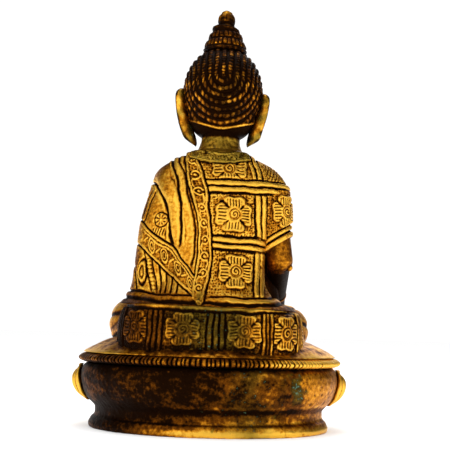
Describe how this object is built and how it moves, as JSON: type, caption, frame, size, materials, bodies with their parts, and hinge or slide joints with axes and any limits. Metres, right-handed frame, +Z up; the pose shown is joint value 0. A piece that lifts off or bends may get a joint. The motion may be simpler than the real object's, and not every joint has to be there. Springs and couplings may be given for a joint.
{
  "type": "buddha statue",
  "caption": "Small cast brass seated Buddha in a patterned robe on an oval lotus pedestal with a domed seat, its right hand over the knee and a bowl in its lap.",
  "frame": {"origin": "middle of the underside: under the centre of the statue's box, at the bottom of the foot ring", "axes": "+Z up from the foot ring to the jewel; the figure faces -Y and its left side is +X"},
  "size_m": [0.0964, 0.0743, 0.1493],
  "materials": {
    "robe_brass": "cast and chased, bright on the high places, dark brown patina in the recesses",
    "skin_brass": "smooth, slightly browned",
    "rim_brass": "worn bright on the edges",
    "hair_brass": "dark brown patina with rubbed beads",
    "pedestal_brass": "dark brown patina with green spots",
    "copper_plate": "thin sheet, engraved",
    "wood": "bare",
    "paper": "rolled"
  },
  "bodies": {
    "root": {"pedestal_shell": "pedestal_brass", "beaded_rim": "rim_brass", "moon_disc": "pedestal_brass", "lotus_petal_1": "rim_brass", "lotus_petal_2": "rim_brass", "lotus_petal_3": "rim_brass", "lotus_petal_4": "rim_brass", "lotus_petal_5": "rim_brass", "lotus_petal_6": "rim_brass", "lotus_petal_7": "rim_brass", "lotus_petal_8": "rim_brass", "lotus_petal_9": "rim_brass", "small_petal_1": "rim_brass", "small_petal_2": "rim_brass", "small_petal_3": "rim_brass", "small_petal_4": "rim_brass", "small_petal_5": "rim_brass", "small_petal_6": "rim_brass", "small_petal_7": "rim_brass", "small_petal_8": "rim_brass", "closing_plate": "copper_plate", "life_stick": "wood", "mantra_scroll_1": "paper", "mantra_scroll_2": "paper", "mantra_scroll_3": "paper", "mantra_scroll_4": "paper", "mantra_scroll_5": "paper", "mantra_scroll_6": "paper", "seated_legs": "robe_brass", "tang_pin_left": "rim_brass", "tang_pin_right": "rim_brass", "torso": "robe_brass", "right_forearm": "skin_brass", "left_hand": "skin_brass", "alms_bowl": "rim_brass", "head": "skin_brass", "left_ear": "skin_brass", "right_ear": "skin_brass", "neck_pin": "rim_brass", "ushnisha": "hair_brass", "jewel_finial": "rim_brass"}
  },
  "joints": []
}
